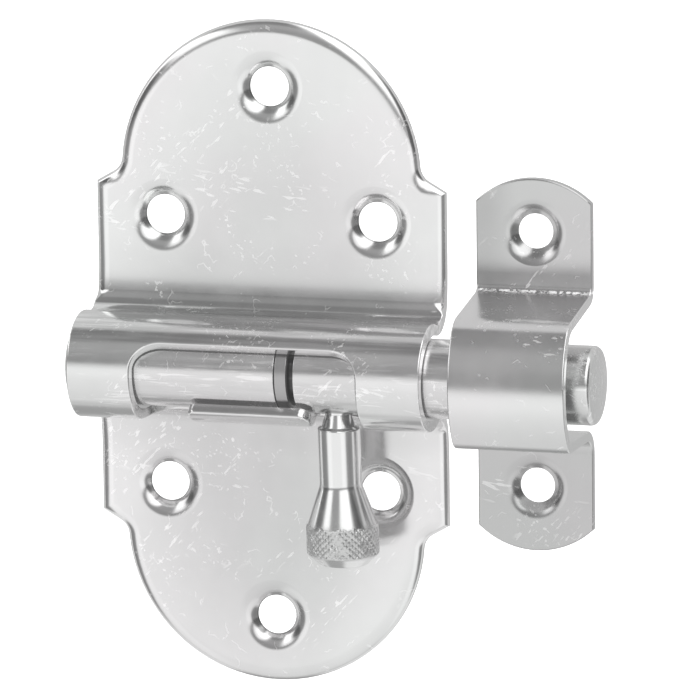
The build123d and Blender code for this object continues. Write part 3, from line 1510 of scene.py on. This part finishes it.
@dataclass
class BoltRod:
    """Round rod with its ring groove and the cross hole of the knob."""

    left: float = -31.1
    right: float = 57.8
    radius: float = 6.5
    chamfer: float = 0.55
    chamfer_rounds: Span = (0.25, 0.4)
    end_round: float = 1.0
    dome: float = 0.4
    dome_share: float = 0.75
    dome_round: float = 6.0
    groove: Span = (4.75, 8.05)
    floor: float = 4.9
    lip: float = 0.12
    knob_x: float = 13.9
    hole: float = 2.1
    hole_depth: float = 4.0
    overrun: float = 2.0
    skin: Zinc = RodZinc("bolt zinc", tone=0.76, grain=Grain.ALONG_X, grain_depth=0.12, wave=0.12)

    def profile(self) -> list[Point]:
        """Draw the rod's profile.

        Returns:
            Its points from the left end to the right one.
        """
        start, end = self.groove
        corners = [
            (0.0, self.left, 0.0),
            (self.radius - self.chamfer, self.left, self.chamfer_rounds[0]),
            (self.radius, self.left + self.chamfer, self.chamfer_rounds[1]),
            (self.radius, start, self.lip),
            (self.floor, start, self.lip),
            (self.floor, end, self.lip),
            (self.radius, end, self.lip),
            (self.radius, self.right, self.end_round),
            (self.radius / 2, self.right + self.dome * self.dome_share, self.dome_round),
            (0.0, self.right + self.dome, 0.0),
        ]
        return rounded(corners, closed=False)

    def drill(self) -> bpy.types.Object:
        """Make the drill of the knob's cross hole.

        Returns:
            The drill as a closed turned shape.
        """
        low = AXIS_LEVEL - self.radius
        bottom, top = low - self.overrun, low + self.hole_depth
        return turned(
            "drill",
            [(0.0, bottom), (self.hole, bottom), (self.hole, top), (0.0, top)],
            lambda reach, along: spot(self.knob_x + reach, AXIS_HEIGHT, along),
            Vector((0, 0, 1)),
            steps=48,
        )

    def build(self) -> bpy.types.Object:
        """Turn, drill and dress the rod.

        Returns:
            The finished rod.
        """
        rod = turned(
            "bolt_shaft",
            self.profile(),
            lambda reach, along: spot(along, AXIS_HEIGHT, AXIS_LEVEL + reach),
            Vector((1, 0, 0)),
            steps=120,
        )
        cut(rod, self.drill())
        weld(rod)
        smooth(rod)
        finish_piece(rod, self.skin, "bolt", "bolt_rod")
        return rod


@dataclass
class SpringRing:
    """Flat spring ring in the rod's groove, open towards the wall."""

    left: float = 4.8
    width: float = 2.05
    inner: float = 5.45
    outer: float = 6.3
    edge: float = 0.2
    gap: float = 3.0
    skin: Zinc = Zinc("ring steel", tone=0.44, roughness=0.34, wave=0.1, scratch=0.3)

    def build(self) -> bpy.types.Object:
        """Roll and dress the ring.

        Returns:
            The finished ring.
        """
        right = self.left + self.width
        ends = ((self.inner, self.left), (self.outer, self.left), (self.outer, right), (self.inner, right))
        opening = math.asin(self.gap / (self.inner + self.outer))
        start = Vector((0.0, -math.cos(math.pi - opening), math.sin(math.pi - opening)))
        middle = spot(0.0, AXIS_HEIGHT, AXIS_LEVEL)
        ring = turned(
            "ring_spring",
            rounded([(*end, self.edge) for end in ends]),
            lambda reach, along: middle + Vector((along * MM, 0, 0)) + start * reach * MM,
            Vector((1, 0, 0)),
            steps=110,
            sweep=FULL_TURN - 2 * opening,
        )
        smooth(ring)
        finish_piece(ring, self.skin, "spring", "spring_ring")
        return ring


@dataclass
class Knob:
    """Turned knob: spigot, neck, stem, flare, knurled band and bevelled end.

    The lean is sideways, and lean_from is the level that it leaves in place. Each of the waves
    that wear the knurls has a depth, and a pace round the knob and along it.
    """

    x: float = 14.35
    lean: float = 0.026
    lean_from: float = -26.0
    spigot: float = 2.05
    spigot_top: float = -3.65
    neck_top: float = -7.65
    neck: float = 2.8
    neck_low: float = -9.75
    stem: float = 3.525
    stem_top: float = -10.05
    flare_top: float = -19.5
    grip: float = 6.0
    grip_top: float = -26.4
    bevel_top: float = -30.9
    end_radius: float = 4.05
    end: float = -32.8
    rounds: tuple[float, ...] = (0.0, 0.2, 0.3, 0.2, 0.35, 3.0, 2.0, 0.9, 0.7, 0.0)
    knurls: int = 36
    knurl_band: Span = (-31.6, -23.4)
    knurl_rise: float = 0.05
    knurl_depth: float = 0.3
    wear: float = 0.72
    wear_waves: tuple[Corner, ...] = ((0.2, 1.9, 1.3), (0.14, 0.7, -3.1))
    fine: int = 8
    fine_low: float = -32.3
    crisp: float = math.radians(28.0)
    skin: Zinc = KnobZinc("knob zinc", tone=0.80, roughness=0.17, wave=0.05, scratch=0.3)

    @property
    def pitch(self) -> float:
        """Distance from one knurl to the next."""
        return FULL_TURN * self.grip / self.knurls

    def profile(self) -> list[Point]:
        """Draw the knob's profile with fine steps over the knurled band.

        Returns:
            Its points from the spigot's top to the end.
        """
        corners = (
            (0.0, self.spigot_top),
            (self.spigot, self.spigot_top),
            (self.spigot, self.neck_top),
            (self.neck, self.neck_low),
            (self.stem, self.stem_top),
            (self.stem, self.flare_top),
            (self.grip, self.grip_top),
            (self.grip, self.bevel_top),
            (self.end_radius, self.end),
            (0.0, self.end),
        )
        shape = rounded([(*corner, size) for corner, size in zip(corners, self.rounds)], closed=False)
        fine = [shape[0]]
        for here, there in zip(shape, shape[1:]):
            top, low = max(here[1], there[1]), min(here[1], there[1])
            near = low < self.flare_top and top > self.fine_low
            parts = max(1, round(math.dist(here, there) / (self.pitch / self.fine))) if near else 1
            across, along = there[0] - here[0], there[1] - here[1]
            steps = range(1, parts + 1)
            fine += [(here[0] + across * part / parts, here[1] + along * part / parts) for part in steps]
        return fine

    def knurl(self, piece: bpy.types.Object) -> None:
        """Press crossed grooves into the band, where it stands out far enough to meet them.

        Args:
            piece: The turned knob.
        """
        low, top = self.knurl_band
        for vertex in piece.data.vertices:
            level = vertex.co.z / MM
            across = Vector((vertex.co.x / MM - self.x, vertex.co.y / MM + AXIS_HEIGHT))
            if not low < level < top or across.length < self.stem:
                continue
            turn = math.atan2(across.y, across.x) / FULL_TURN * self.knurls
            slopes = [turn + level / self.pitch, turn - level / self.pitch]
            groove = max(1 - 2 * abs(value - round(value)) for value in slopes)
            wear = self.wear
            for depth, around, along in self.wear_waves:
                wear += depth * math.sin(turn * around + level * along)
            limit = self.grip + self.knurl_rise - self.knurl_depth * groove * wear
            if across.length > limit:
                across = across.normalized() * limit
                vertex.co = spot(self.x + across.x, AXIS_HEIGHT - across.y, level)

    def build(self) -> bpy.types.Object:
        """Turn, knurl and dress the knob.

        Returns:
            The finished knob.
        """
        piece = turned(
            "knob_turned",
            self.profile(),
            lambda reach, along: spot(self.x + reach, AXIS_HEIGHT, along),
            Vector((0, 0, 1)),
            steps=self.knurls * self.fine,
        )
        self.knurl(piece)
        for vertex in piece.data.vertices:
            vertex.co.x -= (vertex.co.z - self.lean_from * MM) * self.lean
        smooth(piece, self.crisp)
        finish_piece(piece, self.skin, "bolt", "knob")
        return piece


@dataclass(frozen=True)
class Leg:
    """One wall under the keeper's bridge.

    The level is where its outside, drawn on, meets the wall. It leans inwards from there, and has
    a corner to the bridge and a bend to the tab.
    """

    level: float
    lean: float
    corner: float
    bend: float


@dataclass
class Keeper:
    """Strip bent to a bridge, with a dimpled hole in each tab."""

    left: float = 35.3
    width: float = 19.4
    end_radius: float = 14.0
    top: float = 30.9788
    low: float = -30.9859
    top_margin: float = 8.9
    low_margin: float = 10.7
    dimple: Dimple = Dimple(hole=2.9, slope=math.radians(45.0), entry=3.0)
    front: float = 20.8
    crown: float = 16.0
    crown_level: float = -0.8
    upper_leg: Leg = Leg(level=12.55, lean=math.radians(8.82), corner=5.0, bend=1.2)
    lower_leg: Leg = Leg(level=-11.9, lean=math.radians(1.96), corner=3.2, bend=2.8)
    bend_step: float = math.radians(3.0)
    edge: float = 0.3
    edge_steps: int = 4
    skin: Zinc = KeeperZinc("keeper zinc", wave=0.3, tone=0.78)

    def leg_line(self, leg: Leg, side: int) -> tuple[float, tuple[Stretch, ...], float]:
        """Work out one leg's line from its tab to the bridge.

        Args:
            leg: The leg.
            side: 1 for the upper leg and -1 for the lower one.

        Returns:
            The level where the tab ends, the stretches from there, and the angle on the crown
            where they end.
        """
        centre = (self.front - self.crown, self.crown_level)
        foot = (SHEET, leg.level - side * SHEET * math.tan(leg.lean))
        corner = blend_circle(foot, -side * leg.lean, centre, self.crown - leg.corner, -side * leg.corner)
        angle = math.atan2(corner[1] - centre[1], corner[0] - centre[0])
        turn = math.pi / 2 - leg.lean
        reach = leg.bend * math.tan(turn / 2)
        outward = Vector((math.sin(leg.lean), side * math.cos(leg.lean)))
        wall = (Vector(corner) + outward * leg.corner - Vector(foot)).length - reach
        over = turn - side * angle
        bend, shoulder = Stretch(leg.bend * turn, turn), Stretch(leg.corner * over, -over)
        return foot[1] + side * reach, (bend, Stretch(wall), shoulder), angle

    def fold(self) -> FoldLine:
        """Work out the side view of the bent strip.

        Returns:
            The line from the upper tab over the bridge to the lower tab.
        """
        start, upper, high = self.leg_line(self.upper_leg, 1)
        _, lower, deep = self.leg_line(self.lower_leg, -1)
        crown = Stretch(self.crown * (high - deep), deep - high)
        return FoldLine((SHEET, start), (*upper, crown, *reversed(lower)))

    def build(self) -> bpy.types.Object:
        """Cut, bend and dress the strip.

        Returns:
            The finished keeper.
        """
        fold = self.fold()
        middle, radius, low = self.left + self.width / 2, self.end_radius, self.low - fold.shift
        side = math.acos(self.width / 2 / radius)
        outline = arc((middle, self.top - radius), radius, side, math.pi - side)
        outline += arc((middle, low + radius), radius, math.pi + side, FULL_TURN - side)
        rim, steps = (self.edge, self.edge), self.edge_steps
        piece = cut_blank("keeper_strip", outline, rim, steps, self.edge, steps)
        levels = (self.top - self.top_margin, low + self.low_margin)
        cut(piece, joined([self.dimple.punch(middle, level) for level in levels]))
        divide(piece, fold.cuts(self.bend_step))
        fold.press(piece)
        weld(piece)
        smooth(piece)
        finish_piece(piece, self.skin, "plate", "keeper")
        return piece


# Studio


@dataclass(frozen=True)
class Panel:
    """Bright panel of the tent: how much it leans with the rise, and its greys along X."""

    skew: float
    stops: Stops


@dataclass
class Studio:
    """White tent with the camera of the picture.

    The tent's light is read by the rise, in degrees from the front up to the top, and by the
    sideways part of the direction. Each scale gives greys at some of those.
    """

    aim: Corner = (13.135, 0.0, 0.909)
    distance: float = 1117.7
    yaw: float = math.radians(16.241)
    pitch: float = math.radians(11.235)
    roll: float = math.radians(-0.735)
    lens: float = 348.7
    sensor: float = 36.0
    clip: Span = (0.01, 50.0)
    floor_level: float = -75.0
    floor_size: float = 12.0
    floor_grey: float = 0.9
    floor_glow: float = 0.75
    around: Span = (-180.0, 180.0)
    tones: Stops = (
        (-180.0, 0.58),
        (-110.0, 0.58),
        (-84.0, 0.66),
        (-74.0, 0.84),
        (-30.0, 0.92),
        (-4.0, 1.02),
        (3.0, 1.0),
        (10.5, 0.29),
        (20.0, 0.31),
        (36.0, 0.38),
        (50.0, 0.38),
        (60.0, 0.24),
        (88.0, 0.2),
        (94.0, 0.66),
        (150.0, 0.66),
        (180.0, 0.58),
    )
    front: Stops = ((86.0, 1.0), (112.0, 0.0))
    sides: Stops = ((0.36, 1.0), (0.5, 1.14), (0.7, 1.12), (0.83, 0.3), (0.95, 0.26), (1.0, 0.36))
    left_panel: Panel = Panel(0.0055, ((-0.78, 0.0), (-0.66, 1.0), (-0.47, 1.0), (-0.37, 0.0)))
    right_panel: Panel = Panel(0.0028, ((0.05, 0.0), (0.2, 1.0), (0.66, 1.0), (0.82, 0.0)))
    panel_span: Span = (-1.2, 1.2)
    panel_level: float = 28.0
    panel_tones: Stops = ((16.0, 0.0), (24.0, 1.0), (50.0, 1.6), (92.0, 1.7), (104.0, 0.0))
    panel_gain: float = 0.85
    under: Stops = ((-150.0, 0.0), (-125.0, 1.0), (-97.0, 1.0), (-90.0, 0.0))
    strip: Stops = ((-0.5, 1.0), (-0.4, 0.0), (-0.12, 0.0), (0.0, 1.0))
    strip_gain: float = 0.5
    under_fall: float = 0.2

    def camera(self) -> None:
        """Set up the camera."""
        level = math.cos(self.pitch)
        ahead = (math.sin(self.yaw) * level, -math.cos(self.yaw) * level, math.sin(self.pitch))
        toward = Vector(ahead)
        right = Vector((math.cos(self.yaw), math.sin(self.yaw), 0))
        upward = toward.cross(right)
        across = math.cos(self.roll) * right + math.sin(self.roll) * upward
        upward = math.cos(self.roll) * upward - math.sin(self.roll) * right
        rest_tools()
        bpy.ops.object.camera_add()
        camera = bpy.context.object
        camera.name = "camera"
        camera.data.lens, camera.data.sensor_width = self.lens, self.sensor
        camera.data.clip_start, camera.data.clip_end = self.clip
        place = (Vector(self.aim) + toward * self.distance) * MM
        turn = Matrix((across, upward, toward)).transposed()
        camera.matrix_world = Matrix.Translation(place) @ turn.to_4x4()
        bpy.context.scene.camera = camera

    def floor(self) -> None:
        """Lay the plain white floor."""
        rest_tools()
        bpy.ops.mesh.primitive_plane_add(size=self.floor_size, location=(0, 0, self.floor_level * MM))
        floor = bpy.context.object
        floor.name = "floor"
        material = bpy.data.materials.new("white paper")
        bench = Bench(material)
        grey = self.floor_grey
        paper = bench.node(
            "ShaderNodeBsdfPrincipled",
            {},
            Base_Color=(grey, grey, grey, 1.0),
            Roughness=0.9,
            Emission_Color=WHITE,
            Emission_Strength=self.floor_glow,
        )
        bench.node("ShaderNodeOutputMaterial", {}, paper)
        floor.data.materials.append(material)
        floor.visible_glossy = False
        floor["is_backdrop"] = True

    def tent(self) -> None:
        """Light the object from a soft white tent with darker sides and two bright panels."""
        world = bpy.data.worlds.new("tent")
        bpy.context.scene.world = world
        bench = Bench(world)
        x, y, z = bench.axes(bench.node("ShaderNodeTexCoord", output="Generated"))
        rise = z.arc_tangent(-y) * math.degrees(1.0)
        base = bench.ramp(rise, self.around, self.tones)
        left, right = (
            bench.ramp(x + (rise - self.panel_level) * panel.skew, self.panel_span, panel.stops)
            for panel in (self.left_panel, self.right_panel)
        )
        height = bench.ramp(rise, self.around, self.panel_tones)
        front = bench.ramp(abs(rise), (0.0, 180.0), self.front)
        dim = bench.mix(front, 1.0, bench.ramp(abs(x), (0.0, 1.0), self.sides))
        under = bench.ramp(rise, self.around, self.under)
        strip = bench.ramp(x, (-1.0, 1.0), self.strip) * self.strip_gain - self.under_fall
        glow = base * dim + (left + right) * height * self.panel_gain + under * strip
        tent = bench.node("ShaderNodeBackground", {}, WHITE, glow)
        paper = bench.node("ShaderNodeBackground", {}, WHITE, 1.0)
        seen = bench.node("ShaderNodeLightPath", output="Is Camera Ray")
        both = bench.node("ShaderNodeMixShader", {}, seen, tent, paper)
        bench.node("ShaderNodeOutputWorld", {}, both)

    def build(self) -> None:
        """Set up camera, floor and light."""
        self.camera()
        self.floor()
        self.tent()
        bpy.context.scene.view_settings.view_transform = "Standard"


def corners(box: tuple[Vector, Vector]) -> list[list[float]]:
    """Turn a box into plain lists of numbers."""
    return [list(corner) for corner in box]


def main() -> None:
    """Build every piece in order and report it."""
    logging.basicConfig(level=logging.INFO, format="%(name)s: %(message)s")
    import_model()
    solids = corners(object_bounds())
    for part in (BackPlate(), BoltRod(), SpringRing(), Knob(), Keeper()):
        piece = part.build()
        log.info("%s: %d faces", piece.name, len(piece.data.polygons))
    Studio().build()
    rest_tools()
    {"solids": solids, "scene": corners(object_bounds())}


if __name__ == "__main__":
    main()
